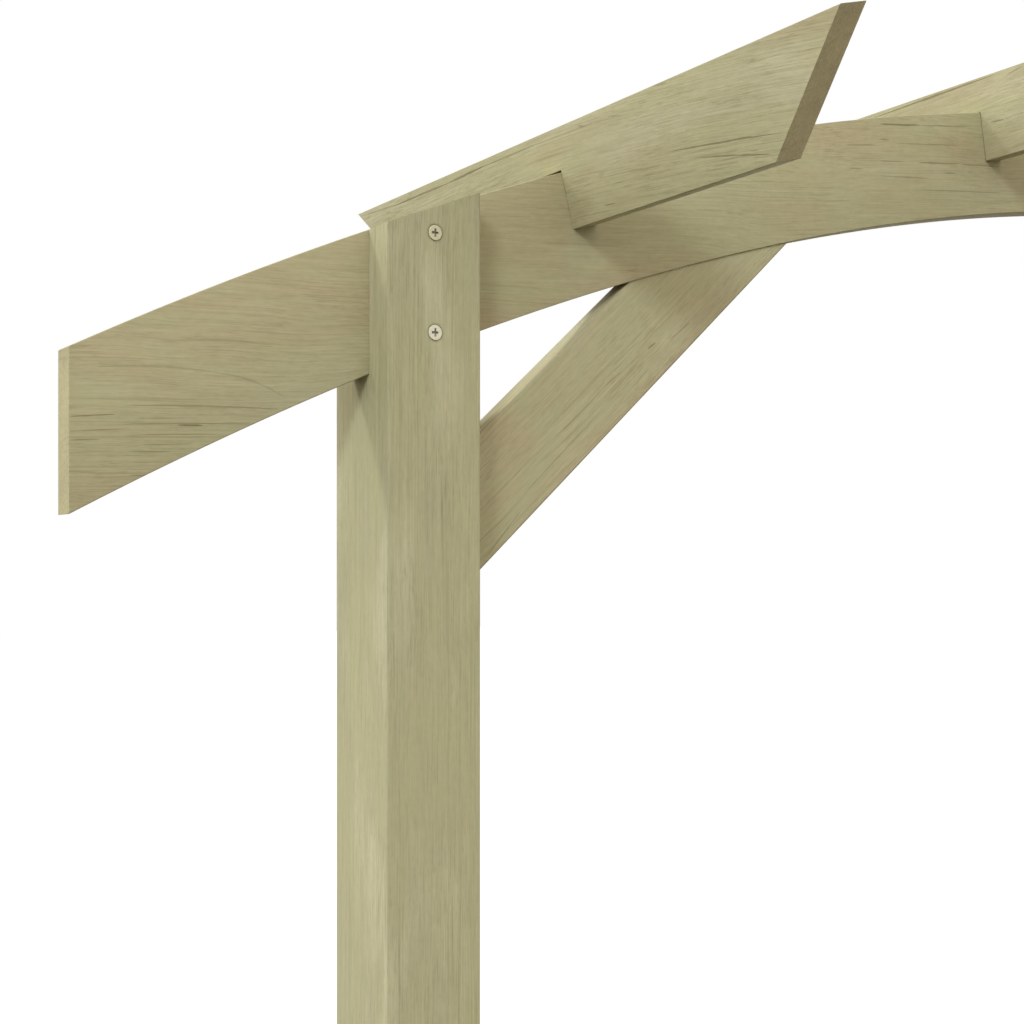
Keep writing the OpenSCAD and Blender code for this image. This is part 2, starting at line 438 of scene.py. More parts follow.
def makeHeadShadeRing():
    # Painted shade: a dark ring round a screw's head, where the head meets the wood
    tree, given, result = newMask("headShadeRing", {
        "Place": (0, 0, 0), "Head Width": 0.0105, "Ring Width": 0.0018, "Strength": 0.4})
    raggedness = 1.2
    past = less(tree, distance(tree, given["Vector"], given["Place"]), halfOf(tree, given["Head Width"]))
    past = times(tree, past, timesPlus(tree, pattern(tree, given["Vector"], "screwRim"), raggedness, 1.0))
    return endMaskTree(tree, given, result, stepped(tree, over(tree, past, given["Ring Width"]), 1.0, 0.0))


def makeWarmShadePatch():
    # One browner patch on a board, long with the grain and soft at its rim: partly the wood's own warm tone, partly
    # painted warm shade where shadow falls beside posts, slats and notches
    tree, given, result = newMask("warmToneAndShade", {
        "Along": 0.0, "Across": 0.0, "Half Length": 0.04, "Half Width": 0.02})
    raggedness, rim, core = 1.6, 1.15, 0.35
    parts = split(tree, given["Vector"])
    along = over(tree, less(tree, parts[0], given["Along"]), given["Half Length"])
    across = over(tree, less(tree, parts[2], given["Across"]), given["Half Width"])
    away = timesPlus(tree, pattern(tree, given["Vector"], "patchRim"), raggedness, longSide(tree, along, across))
    return endMaskTree(tree, given, result, stepped(tree, away, rim, core))


def makeFacing():
    # Which part of a board this is: half way round an eased long edge, or on a cut end
    tree, given, result = newTree("boardFacing", "ShaderNodeTree", {"Board Normal": "Vector"},
                                  {"Eased Edge": "Float", "End Grain": "Float"})
    edgeLimits, endLimits = (0.15, 0.8), (0.36, 0.66)
    parts = split(tree, given["Board Normal"])
    level = less(tree, 1.0, times(tree, parts[1], parts[1]))
    level = calc(tree, "SQRT", larger(tree, level, 0.0))
    turned = times(tree, times(tree, calc(tree, "ABSOLUTE", parts[1]), level), 2.0)
    fill(tree, result["Eased Edge"], stepped(tree, turned, *edgeLimits))
    fill(tree, result["End Grain"], stepped(tree, calc(tree, "ABSOLUTE", parts[0]), *endLimits))
    return tree


grainGroup = makeGrain(grainShape)
markGroup, headShadeGroup, warmShadeGroup, facingGroup = makeDarkMark(), makeHeadShadeRing(), makeWarmShadePatch(), makeFacing()


def chained(tree, group, rows, before=0.0):
    # Masks one after the other, each handed the one before it
    for row in rows:
        before = outOf(tree, "ShaderNodeGroup", {"Before": before, **row}, node_tree=group)
    return before


def markRow(board, row):
    along, across, alongEnd, acrossEnd, bow, width, strength = row
    sizes = {"Along": along, "Across": across, "Length": alongEnd - along, "Rise": acrossEnd - across,
             "Bow": bow, "Width": width}
    return {"Vector": board, **{key: value / mmInMetre for key, value in sizes.items()}, "Strength": strength}


def warmShadeRow(board, row):
    sizes = dict(zip(("Along", "Across", "Half Length", "Half Width"), row))
    return {"Vector": board, **{key: value / mmInMetre for key, value in sizes.items()}, "Strength": row[-1]}


def makeWood(name, look):
    material = bpy.data.materials.new(name)
    tree = emptyTree(material)
    coords = addNode(tree, "ShaderNodeTexCoord").outputs
    turn = Euler([math.radians(a) for a in look["turn"]])
    shift = -(turn.to_matrix() @ Vector(look["origin"]))
    board = outOf(tree, "ShaderNodeMapping", {"Vector": coords["Object"], "Rotation": turn, "Location": shift})
    facing = outOf(tree, "ShaderNodeMapping", {"Vector": coords["Normal"], "Rotation": turn}, vector_type="VECTOR")
    marks = chained(tree, markGroup, [markRow(board, row) for row in look["marks"]])
    # Painted shade rings round the screw heads join the marks
    marks = chained(tree, headShadeGroup, [{"Vector": coords["Object"], "Place": spot} for spot in look["screws"]], marks)
    patches = chained(tree, warmShadeGroup, [warmShadeRow(board, row) for row in look["patches"]])
    masks = addNode(tree, "ShaderNodeGroup", {"Board Normal": facing}, node_tree=facingGroup).outputs
    grain = addNode(tree, "ShaderNodeGroup", {
        "Vector": board, "Heart": look["heart"], "Marks": marks, "Warm Tone And Shade": patches,
        "End Grain": masks["End Grain"], "Eased Edge": masks["Eased Edge"], **grainValues(look),
    }, node_tree=grainGroup).outputs
    bump = outOf(tree, "ShaderNodeBump", {"Height": grain["Height"], "Strength": grainShape["bumpStrength"],
                                          "Distance": grainShape["bumpDistance"]})
    shader = outOf(tree, "ShaderNodeBsdfPrincipled", {
        "Base Color": grain["Color"], "Roughness": grain["Roughness"], "Normal": bump,
        "Specular IOR Level": grainShape["shine"]})
    addNode(tree, "ShaderNodeOutputMaterial", {0: shader})
    return material


postLook = {
    **woodLook, "turn": (0, 90, 0), "Waviness": 0.007, "Warm Tone": (0.390, 0.363, 0.233, 1),
    "Pale Tone": (0.478, 0.450, 0.290, 1), "Dash Strength": 0.30, "Edge Color": (0.37, 0.345, 0.21, 1)}
beamLook = {
    **woodLook, "Waviness": 0.020, "Ring Strength": 0.46, "Ring Spacing": 0.0036, "Dash Strength": 0.27,
    "Blotch Strength": 0.9, "Tone": (0.418, 0.394, 0.232, 1), "Warm Tone": (0.420, 0.360, 0.215, 1),
    "Pale Tone": (0.440, 0.415, 0.258, 1), "Edge Color": (0.40, 0.37, 0.225, 1)}
braceLook = {
    **woodLook, "Dash Strength": 0.32, "Streak Strength": 0.36, "Tone": (0.425, 0.395, 0.235, 1),
    "Warm Tone": (0.422, 0.362, 0.215, 1), "Pale Tone": (0.450, 0.420, 0.263, 1)}
beamEndX = 1.15
beamMarks = [
    (-68.7, -8.1, 33.7, -5.0, 0.6, 0.85, 0.52), (-68.7, -19.3, 13.4, -15.3, 0.4, 0.70, 0.52),
    (-34.1, -18.1, -17.5, -17.6, 0, 0.96, 0.80), (-99.4, -16.2, -72.1, -13.6, 0, 0.66, 0.72),
    (-99.4, -24.8, -64.6, -21.6, 0, 0.54, 0.48), (-64.4, -25.6, -5.8, -22.4, 0.3, 0.60, 0.51),
    (-57.3, -30.9, -23.9, -28.9, 0, 0.54, 0.48), (-98.5, -29.7, -81.6, -28.6, 0, 0.60, 0.64),
    (-64.4, -34.9, -38.0, -34.3, 0, 0.54, 0.56), (-64.3, -49.2, -50.5, -48.4, 0, 0.60, 0.56),
    (-85.2, 13.1, 0.0, 14.0, 2.6, 0.95, 0.28), (-10.0, 14.6, 38.0, 2.0, 3.2, 0.95, 0.30),
    (571.3, 254.9, 619.1, 261.1, 0, 1.2, 0.80), (619.1, 261.1, 679.1, 269.2, 0, 0.9, 0.45),
    (571.3, 242.4, 581.9, 243.6, 0, 1.0, 0.60), (590.2, 241.9, 668.9, 251.8, 0, 0.9, 0.45),
    (571.3, 224.9, 599.7, 228.3, 0, 0.8, 0.55), (616.7, 230.1, 668.9, 236.0, 0, 1.1, 0.65),
    (668.9, 236.0, 720.9, 241.0, 0, 0.9, 0.50), (536.7, 214.1, 552.7, 215.9, 0, 0.8, 0.55),
    (571.3, 212.8, 631.4, 218.8, 0, 0.8, 0.45), (648.7, 225.8, 663.8, 227.4, 0, 0.9, 0.50),
    (619.1, 207.7, 720.9, 218.6, 0, 0.9, 0.45), (531.1, 232.0, 564.3, 237.0, 0, 0.8, 0.50),
]
# Browner patches, partly the wood's own tone and partly painted warm shade beside the post and under the slats
beamWarmShade = [
    (222.0, 128.0, 62.0, 42.0, 0.85), (50.0, 50.0, 62.0, 20.0, 0.6), (668.0, 250.0, 36.0, 22.0, 0.9),
    (480.0, 170.0, 55.0, 22.0, 0.6), (315.0, 112.0, 42.0, 12.0, 0.6),
]
braceWarmShade = [(-122.0, 12.0, 36.0, 30.0, 0.9), (-152.0, -9.0, 32.0, 16.0, 0.6)]
braceMarks = [
    (25.4, -16.2, 34.5, -17.2, 0, 0.84, 0.80), (-26.0, -11.9, -4.3, -13.4, 0, 0.60, 0.56),
    (-129.6, -24.1, -39.4, -23.1, 0, 0.60, 0.48), (46.4, -23.9, 70.7, -25.6, 0, 0.60, 0.56),
    (-183.3, -36.3, -139.2, -31.2, 0, 0.60, 0.56),
]
wood = {
    "leftPost": makeWood("leftPostPine", {
        **postLook, "origin": (-fixing["postMiddle"], 0, 1.9), "heart": (0.3, 0.060, 0.09), "Slope": -0.004,
        "screws": [spot for spot, turn in postScrewSpots()]}),
    "rightPost": makeWood("rightPostPine", {
        **postLook, "origin": (fixing["postMiddle"], 0, 1.9), "heart": (4.1, 0.055, -0.08), "Slope": 0.01,
        "screws": [(-x, y, z) for (x, y, z), turn in postScrewSpots()]}),
    "leftBeam": makeWood("leftBeamPine", {
        **beamLook, "origin": (-beamEndX, 0, 1.85), "heart": (7.3, 0.03, 0.16), "Slope": 0.045, "Bend": 0.065,
        "marks": beamMarks, "patches": beamWarmShade}),
    "rightBeam": makeWood("rightBeamPine", {
        **beamLook, "origin": (beamEndX, 0, 1.85), "heart": (1.9, -0.03, 0.14), "Slope": -0.045, "Bend": 0.065}),
    "leftBrace": makeWood("leftBracePine", {
        **braceLook, "turn": (0, fixing["braceSlope"], 0), "origin": (-0.85, 0, 1.9), "heart": (5.2, 0.03, 0.10),
        "marks": braceMarks, "patches": braceWarmShade}),
    "rightBrace": makeWood("rightBracePine", {
        **braceLook, "turn": (0, -fixing["braceSlope"], 0), "origin": (0.85, 0, 1.9), "heart": (8.6, 0.03, 0.11)}),
}
print("wood materials ready")

# Helpers for geometry nodes
meshing = {
    "smoothBelow": 32,  # degrees between two faces
    "wearAbove": 35,
    "wearSteps": 2,
    "wearWidth": 0.0003,
    "roundSteps": 4,
    "farPast": 0.1,  # how far a cutter stands out of the board
}


def outline(tree, width, height, rounding):
    board = outOf(tree, "GeometryNodeCurvePrimitiveQuadrilateral", {"Width": width, "Height": height})
    return outOf(tree, "GeometryNodeFilletCurve", {
        "Curve": board, "Radius": rounding, "Count": meshing["roundSteps"]}, mode="POLY")


def lineBetween(tree, start, end, count):
    line = outOf(tree, "GeometryNodeCurvePrimitiveLine", {"Start": start, "End": end})
    return outOf(tree, "GeometryNodeResampleCurve", {"Curve": line, "Count": count})


def swept(tree, line, profile, **more):
    return outOf(tree, "GeometryNodeCurveToMesh", {
        "Curve": line, "Profile Curve": profile, "Fill Caps": True, **more})


def moved(tree, shape, place=(0, 0, 0), turn=(0, 0, 0)):
    return outOf(tree, "GeometryNodeTransform", {"Geometry": shape, "Translation": place, "Rotation": turn})


def reshaped(tree, shape, position):
    return outOf(tree, "GeometryNodeSetPosition", {"Geometry": shape, "Position": position})


def positionParts(tree):
    return split(tree, outOf(tree, "GeometryNodeInputPosition"))


def cylinder(tree, sides, width, depth):
    return outOf(tree, "GeometryNodeMeshCylinder", {"Vertices": sides, "Radius": halfOf(tree, width), "Depth": depth})


def box(tree, low, high):
    middle = calcVector(tree, "MULTIPLY", calcVector(tree, "ADD", low, high), (0.5, 0.5, 0.5))
    cube = outOf(tree, "GeometryNodeMeshCube", {"Size": calcVector(tree, "SUBTRACT", high, low)})
    return moved(tree, cube, middle)


def joined(tree, shapes):
    join = addNode(tree, "GeometryNodeJoinGeometry")
    for shape in shapes:
        tree.links.new(shape, join.inputs[0])
    return join.outputs[0]


def cutAway(tree, solid, cutter):
    return outOf(tree, "GeometryNodeMeshBoolean", {"Mesh 1": solid, "Mesh 2": cutter},
                 operation="DIFFERENCE", solver="EXACT")


def turnedShape(tree, stations, sides):
    # A shape turned on a lathe, from pairs of height and radius. The line only brings the right number of points
    line = lineBetween(tree, (0, 0, 0), (0, 0, -0.001), len(stations))
    index = outOf(tree, "GeometryNodeInputIndex")
    picked = []
    for column in (0, 1):
        node = addNode(tree, "GeometryNodeIndexSwitch", data_type="FLOAT")
        while len(node.index_switch_items) < len(stations):
            node.index_switch_items.new()
        fill(tree, node.inputs["Index"], index)
        for number, station in enumerate(stations):
            fill(tree, node.inputs[number + 1], station[column])
        picked.append(node.outputs[0])
    line = reshaped(tree, line, point(tree, 0.0, 0.0, picked[0]))
    circle = outOf(tree, "GeometryNodeCurvePrimitiveCircle", {"Resolution": sides, "Radius": 1.0})
    return swept(tree, line, circle, Scale=picked[1])


def drilled(tree, solid, spots, width, depth, mirror):
    # Holes for screws, each from its head's place downwards. Mirror is 1 for the left side and -1 for the right
    sides, above = 24, 0.02
    drill = cylinder(tree, sides, width, plus(tree, depth, above))
    drill = moved(tree, drill, point(tree, 0.0, 0.0, timesPlus(tree, depth, -0.5, above / 2)))
    holes = []
    for (x, y, z), turn in spots:
        spot = point(tree, times(tree, mirror, x), y, z)
        holes.append(moved(tree, drill, spot, point(tree, turn[0], times(tree, mirror, turn[1]), turn[2])))
    return cutAway(tree, solid, joined(tree, holes))


def realized(tree, shape):
    return outOf(tree, "GeometryNodeRealizeInstances", {0: shape})


def finishTree(tree, solid, given, result):
    angle = outOf(tree, "GeometryNodeInputMeshEdgeAngle")
    sharp = outOf(tree, "FunctionNodeCompare", {0: angle, 1: math.radians(meshing["smoothBelow"])},
                  data_type="FLOAT", operation="GREATER_THAN")
    solid = outOf(tree, "GeometryNodeSetShadeSmooth", {"Geometry": solid, "Shade Smooth": True})
    solid = outOf(tree, "GeometryNodeSetShadeSmooth", {"Geometry": solid, "Selection": sharp, "Shade Smooth": False},
                  domain="EDGE")
    solid = realized(tree, solid)
    fill(tree, result["Geometry"], outOf(tree, "GeometryNodeSetMaterial", {
        "Geometry": solid, "Material": given["Material"]}))
    return tree


def newShapeTree(name, inputs):
    tree, given, result = newTree(name, "GeometryNodeTree", {**inputs, "Material": "Material"},
                                  {"Geometry": "Geometry"})
    tree.is_modifier = True
    return tree, given, result


def bake(name, tree, values, wear=0.0):
    piece = bpy.data.objects.new(name, bpy.data.meshes.new(name))
    scene.collection.objects.link(piece)
    maker = piece.modifiers.new("maker", "NODES")
    maker.node_group = tree
    for item in tree.interface.items_tree:
        if item.in_out == "INPUT" and item.name in values:
            maker[item.identifier] = values[item.name]
    if wear:
        eased = piece.modifiers.new("eased", "BEVEL")
        eased.width, eased.segments, eased.limit_method = wear, meshing["wearSteps"], "ANGLE"
        eased.angle_limit, eased.use_clamp_overlap = math.radians(meshing["wearAbove"]), False
    graph = bpy.context.evaluated_depsgraph_get()
    mesh = bpy.data.meshes.new_from_object(piece.evaluated_get(graph), preserve_all_data_layers=True, depsgraph=graph)
    piece.modifiers.clear()
    piece.data = mesh
    mesh.name = name
    print(name, len(mesh.vertices), "points")
    return piece


def place(piece, slotName, *nodes):
    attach(piece, "root")
    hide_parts(*nodes)


# Arched beam: a straight rounded bar, bent to the arch, then cut for the lap at the crown
beam = {
    "Half Length": arch["halfLength"],
    "Depth": arch["depth"],
    "Thickness": arch["thickness"],
    "Eased Edge": arch["easedEdge"],
    "Top Radius": arch["topRadius"],
    "Crown Height": arch["crownHeight"],
    "Lap Length": arch["lapLength"],
    "Fit Gap": arch["fitGap"],
    "Bore Width": 0.0115,
    "Bore Depth": 0.006,
    "Hole Width": 0.0053,
    "Hole Depth": 0.0603,
    "Stations": 150,
}


def makeBeamTree():
    tree, given, result = newShapeTree("archedBeamHalf", {"Side": -1.0, **beam})
    side, depth, boreSides, farPast = given["Side"], given["Depth"], 40, meshing["farPast"]
    halfLap = halfOf(tree, given["Lap Length"])
    tip = times(tree, side, less(tree, given["Fit Gap"], halfLap))
    end = times(tree, side, given["Half Length"])
    line = lineBetween(tree, point(tree, calc(tree, "MINIMUM", tip, end), 0.0, 0.0),
                       point(tree, larger(tree, tip, end), 0.0, 0.0), given["Stations"])
    bar = swept(tree, line, outline(tree, given["Thickness"], depth, given["Eased Edge"]))
    parts = positionParts(tree)
    middle = less(tree, given["Top Radius"], halfOf(tree, depth))
    radius = plus(tree, middle, parts[2])
    centre = less(tree, given["Crown Height"], given["Top Radius"])
    rise = shortSide(tree, times(tree, radius, radius), parts[0])
    solid = reshaped(tree, bar, point(tree, parts[0], parts[1], plus(tree, centre, rise)))

    # The left half loses the lower part of the lap and the right half the upper part
    lapHeight = less(tree, given["Crown Height"], halfOf(tree, depth))
    shoulder, beyond = times(tree, side, halfLap), negative(tree, side)
    away = timesPlus(tree, side, 1.0, lapHeight)
    low = point(tree, calc(tree, "MINIMUM", shoulder, beyond), -farPast, calc(tree, "MINIMUM", lapHeight, away))
    high = point(tree, larger(tree, shoulder, beyond), farPast, larger(tree, lapHeight, away))
    solid = cutAway(tree, solid, box(tree, low, high))

    # Bores for the heads of the lap screws, which come up through the lower tongue
    quarter = halfOf(tree, halfLap)
    lowSquare = calc(tree, "POWER", less(tree, given["Top Radius"], depth), 2.0)
    underside = plus(tree, centre, shortSide(tree, lowSquare, quarter))
    bore = cylinder(tree, boreSides, given["Bore Width"], times(tree, given["Bore Depth"], 2.0))
    spots = outOf(tree, "GeometryNodeMeshLine", {
        "Count": 2, "Start Location": point(tree, negative(tree, quarter), 0.0, underside),
        "Offset": point(tree, halfLap, 0.0, 0.0)})
    bores = outOf(tree, "GeometryNodeInstanceOnPoints", {"Points": spots, "Instance": bore})
    solid = cutAway(tree, solid, realized(tree, bores))

    holes = postScrewSpots() + [headScrewSpot()] + lapScrewSpots() + [slatScrewSpot(n) for n in (-2, -1, 0)]
    solid = drilled(tree, solid, holes, given["Hole Width"], given["Hole Depth"], negative(tree, side))
    return finishTree(tree, solid, given, result)


beamTree = makeBeamTree()
for name, side, look, node in (("leftBeamHalf", -1.0, "leftBeam", "left_beam_half"),
                               ("rightBeamHalf", 1.0, "rightBeam", "right_beam_half")):
    piece = bake(name, beamTree, {**beam, "Side": side, "Material": wood[look]}, meshing["wearWidth"])
    place(piece, "beam_wood", node)

# Slats: each is seated on the arch by its number, counted from the crown
slat = {
    "Pitch": slatRow["pitch"],
    "Length": 0.540,
    "Height": 0.070,
    "Thickness": slatRow["thickness"],
    "End Cut": 0.066,
    "Notch Depth": 0.0415,
    "Notch Width": arch["thickness"] + 2 * arch["fitGap"],
    "Head Hole": 0.0108,
    "Head Height": 0.003,
    "Rim": 0.0004,
    "Hole Width": 0.0053,
    "Eased Edge": arch["easedEdge"],
    "Top Radius": arch["topRadius"],
    "Crown Height": arch["crownHeight"],
    "Fit Gap": arch["fitGap"],
}


def makeSlatTree():
    tree, given, result = newShapeTree("notchedSlat", {"Number": 0.0, "Lean": 0.0, **slat})
    stations, sinkSides, sinkRise, sinkDepth, farPast = 9, 40, 0.01, -0.06, meshing["farPast"]
    half = halfOf(tree, given["Length"])
    line = lineBetween(tree, point(tree, 0.0, negative(tree, half), 0.0), point(tree, 0.0, half, 0.0), stations)
    board = swept(tree, line, outline(tree, given["Thickness"], given["Height"], given["Eased Edge"]))

    # Both ends slant, so every point moves inwards with its depth below the top edge
    parts = positionParts(tree)
    below = less(tree, 0.5, over(tree, parts[2], given["Height"]))
    share = over(tree, times(tree, below, given["End Cut"]), half)
    length = times(tree, parts[1], less(tree, 1.0, share))
    cover = less(tree, given["Height"], given["Notch Depth"])
    lift = less(tree, cover, halfOf(tree, given["Height"]))
    solid = reshaped(tree, board, point(tree, parts[0], length, plus(tree, parts[2], lift)))
    halfNotch = halfOf(tree, given["Notch Width"])
    solid = cutAway(tree, solid, box(tree, point(tree, -farPast, negative(tree, halfNotch), -2 * farPast),
                                     point(tree, farPast, halfNotch, 0.0)))
    wide, narrow = halfOf(tree, given["Head Hole"]), halfOf(tree, given["Hole Width"])
    sink = turnedShape(tree, [(sinkRise, wide), (negative(tree, given["Rim"]), wide),
                              (negative(tree, given["Head Height"]), narrow), (sinkDepth, narrow)], sinkSides)
    solid = cutAway(tree, solid, moved(tree, sink, point(tree, 0.0, 0.0, cover)))

    # The notch rests on the highest of three points of the beam's top under the leaning board
    across = times(tree, given["Number"], given["Pitch"])
    centre = less(tree, given["Crown Height"], given["Top Radius"])
    halfThick = halfOf(tree, given["Thickness"])
    seat = None
    for step in (-1.0, 0.0, 1.0):
        offset = times(tree, halfThick, step)
        x = timesPlus(tree, offset, calc(tree, "COSINE", given["Lean"]), across)
        top = shortSide(tree, calc(tree, "POWER", given["Top Radius"], 2.0), x)
        height = timesPlus(tree, offset, calc(tree, "SINE", given["Lean"]), plus(tree, centre, top))
        seat = height if seat is None else larger(tree, seat, height)
    seat = plus(tree, seat, given["Fit Gap"])
    solid = moved(tree, solid, point(tree, across, 0.0, seat), point(tree, 0.0, given["Lean"], 0.0))
    return finishTree(tree, solid, given, result)


slatTree = makeSlatTree()
slatLook = {
    **woodLook, "Fibre Strength": 0.60, "Dash Strength": 0.36, "Tone": (0.466, 0.444, 0.264, 1),
    "Warm Tone": (0.432, 0.380, 0.228, 1), "Pale Tone": (0.51, 0.477, 0.314, 1),
    "End Color": (0.535, 0.470, 0.286, 1)}
slatPlaces = {
    "slatOuterLeft": {
        "number": -2, "node": "slat_outer_left", "heart": (2.7, 0.03, 0.12),
        "Slope": 0.045, "Bend": -0.22,
        "marks": [
            (75.0, 23.6, 128.0, 22.4, 0, 1.1, 0.75), (10.0, 23.2, 80.0, 23.5, 0, 0.9, 0.5),
            (122.0, 22.4, 212.0, 22.7, 0, 1.1, 0.7), (202.0, 22.7, 262.0, 25.2, 0, 0.9, 0.4),
            (-54.0, 21.5, 12.0, 23.2, 0, 0.8, 0.35), (-214.4, -26.4, -119.2, -14.0, 0.4, 0.8, 0.7),
            (-190.0, -22.3, -157.0, -19.0, 0, 1.0, 0.7), (-202.4, -36.3, -144.8, -24.1, 0.6, 0.8, 0.65),
            (-176.7, -34.2, -153.3, -31.6, 0, 0.6, 0.4), (-81.6, 19.3, -69.9, 21.2, 0, 0.5, 0.5),
            (-46.5, 21.4, -37.4, 23.8, 0, 0.5, 0.45), (-60.2, -33.6, -47.7, -32.9, 0, 0.6, 0.6),
            (-35.0, -12.3, -17.5, -11.0, 0, 0.5, 0.4), (-122.8, 10.1, -99.5, 12.6, 0, 0.5, 0.3),
        ],
        # a browner patch, partly painted shade, where the slat stands out in front of the beam's face
        "patches": [(-22.0, -31.0, 20.0, 15.0, 0.9)]},
    "slatInnerLeft": {
        "number": -1, "node": "slat_inner_left", "heart": (6.1, 0.03, 0.10),
        "Slope": -0.05, "Bend": 0.12,
        "marks": [
            (-32.5, -11.7, -19.9, -11.0, 0, 0.8, 0.70), (-30.0, 26.6, 100.0, 24.6, 0, 1.0, 0.75),
            (-55.3, 25.7, -39.9, 23.3, 0, 0.8, 0.60),
        ],
        # a browner patch, partly painted shade, where the slat stands out in front of the beam's face
        "patches": [(-20.0, -31.0, 20.0, 13.0, 0.9)]},
    "slatCrown": {"number": 0, "node": "slat_crown", "heart": (0.9, 0.04, -0.13), "Slope": 0.02},
    "slatInnerRight": {"number": 1, "node": "slat_inner_right", "heart": (4.4, 0.02, 0.15),
                       "Slope": 0.06},
    "slatOuterRight": {"number": 2, "node": "slat_outer_right", "heart": (9.5, 0.03, -0.11),
                       "Slope": -0.03},
}
for name, board in slatPlaces.items():
    number = board["number"]
    looks = {key: value for key, value in board.items() if key in woodLook}
    looks.update({"turn": (0, -math.degrees(leanOf(number)), -90),
                  "origin": (number * slatRow["pitch"], 0, seatOf(number)),
                  "screws": [slatScrewSpot(number)[0]]})
    boardWood = makeWood(name + "Pine", {**slatLook, **looks})
    values = {**slat, "Number": float(number), "Lean": leanOf(number), "Material": boardWood}
    place(bake(name, slatTree, values, meshing["wearWidth"]), "slat_wood", board["node"])

# Screws: one countersunk wood screw, set once or twice. Its head's flat face is at Z = 0 and it points down
screw = {
    "Head Width": 0.0100,
    "Head Height": 0.003,
    "Rim": 0.0004,
    "Shank Width": 0.005,
    "Core Width": 0.0034,
    "Length": 0.060,
    "Tip Length": 0.006,
    "Thread Pitch": 0.0026,
    "Thread Length": 0.036,
    "Recess Width": 0.0056,
    "Recess Slot": 0.0016,
    "Recess Depth": 0.0018,
}


def makeScrewTree():
    tree, given, result = newShapeTree("countersunkScrews", {
        **screw, "Proud": 0.0, "First Place": (0, 0, 0), "First Turn": (0, 0, 0),
        "Second Place": (0, 0, 0), "Second Turn": (0, 0, 0), "Pair": True})
    bodySides, coilSteps, neck, flare, recessTaper = 40, 16, 0.86, 1.06, 0.28
    collar, tipDrop, tipNear, tipEnd = 0.001, 0.0008, 0.0005, 0.0001
    head, shank, core = (halfOf(tree, given[name]) for name in ("Head Width", "Shank Width", "Core Width"))
    rim, tall = given["Rim"], given["Head Height"]
    below = negative(tree, given["Length"])
    threadLow = plus(tree, below, given["Tip Length"])
    threadTop = plus(tree, threadLow, given["Thread Length"])
    body = turnedShape(tree, [
        (0.0, less(tree, head, rim)),
        (times(tree, rim, -0.3), timesPlus(tree, rim, -0.3, head)),
        (times(tree, rim, -1.0), head),
        (times(tree, rim, -1.8), head),
        (times(tree, tall, -0.9), times(tree, shank, flare)),
        (times(tree, tall, -1.2), times(tree, shank, neck)),
        (plus(tree, threadTop, collar), times(tree, shank, neck)),
        (threadTop, core),
        (threadLow, core),
        (plus(tree, below, tipDrop), tipNear),
        (below, tipEnd),
    ], bodySides)

    # Cross recess, which narrows towards its floor
    bars = []
    for turn in (0.0, math.pi / 2):
        size = point(tree, given["Recess Width"], given["Recess Slot"], times(tree, given["Recess Depth"], 2.0))
        bar = outOf(tree, "GeometryNodeMeshCube", {"Size": size})
        parts = positionParts(tree)
        narrow = timesPlus(tree, over(tree, parts[2], given["Recess Depth"]), recessTaper, 1.0)
        bar = reshaped(tree, bar, point(
            tree, times(tree, parts[0], narrow), times(tree, parts[1], narrow), parts[2]))
        bars.append(moved(tree, bar, turn=(0, 0, turn)))
    for bar in bars:
        body = cutAway(tree, body, bar)

    # Thread: a sharp ridge that climbs from the tip
    turns = over(tree, given["Thread Length"], given["Thread Pitch"])
    coil = outOf(tree, "GeometryNodeCurveSpiral", {
        "Resolution": coilSteps, "Rotations": turns, "Start Radius": core, "End Radius": core,
        "Height": given["Thread Length"]})
    coil = outOf(tree, "GeometryNodeSetCurveNormal", {"Curve": coil}, mode="Z_UP")
    ridge = outOf(tree, "GeometryNodeCurvePrimitiveCircle", {"Resolution": 4, "Radius": less(tree, shank, core)})
    thread = moved(tree, swept(tree, coil, ridge), point(tree, 0.0, 0.0, threadLow))

    # The depth below the head's face is kept for the painted shade in the recess, then the screw is set in its places
    solid = joined(tree, (body, thread))
    solid = outOf(tree, "GeometryNodeStoreNamedAttribute", {
        "Geometry": solid, "Name": "headDepth", "Value": positionParts(tree)[2]}, data_type="FLOAT", domain="POINT")
    solid = moved(tree, solid, point(tree, 0.0, 0.0, given["Proud"]))
    spots = []
    for name in ("First", "Second"):
        turn = outOf(tree, "FunctionNodeEulerToRotation", {0: given[name + " Turn"]})
        spot = outOf(tree, "GeometryNodePoints", {"Count": 1, "Position": given[name + " Place"]})
        spots.append(outOf(tree, "GeometryNodeInstanceOnPoints", {
            "Points": spot, "Instance": solid, "Rotation": turn}))
    chosen = outOf(tree, "GeometryNodeSwitch", {
        "Switch": given["Pair"], "False": spots[0], "True": joined(tree, spots)}, input_type="GEOMETRY")
    return finishTree(tree, realized(tree, chosen), given, result)


screwLook = {
    "paint": (0.76, 0.73, 0.57, 1),
    "worn": (0.66, 0.63, 0.47, 1),
    "darkerPaint": (0.60, 0.56, 0.37, 1),
    "darkerPlace": postScrewSpots()[0][0],  # the upper screw of the left post is painted darker
    "darkerRim": (0.014, 0.010),
    "noises": ((420.0, 3.0), (1600.0, 2.0)),  # scale and detail of the clouds, then of the scuffs
    "metal": (0.42, 0.40, 0.34, 1),
    # colour of the painted shade in the cross recess
    "recessShade": (0.13, 0.12, 0.08, 1),
    "scuffAmount": 0.35,
    "scuffLimits": (0.60, 0.72),
    "recessShadeLimits": (-0.0003, -0.0012),
    "recessShadeAmount": 0.7,
    "cleanRoughness": 0.32,
    "cloudRoughness": 0.2,
    "dirtRoughness": 0.25,
}


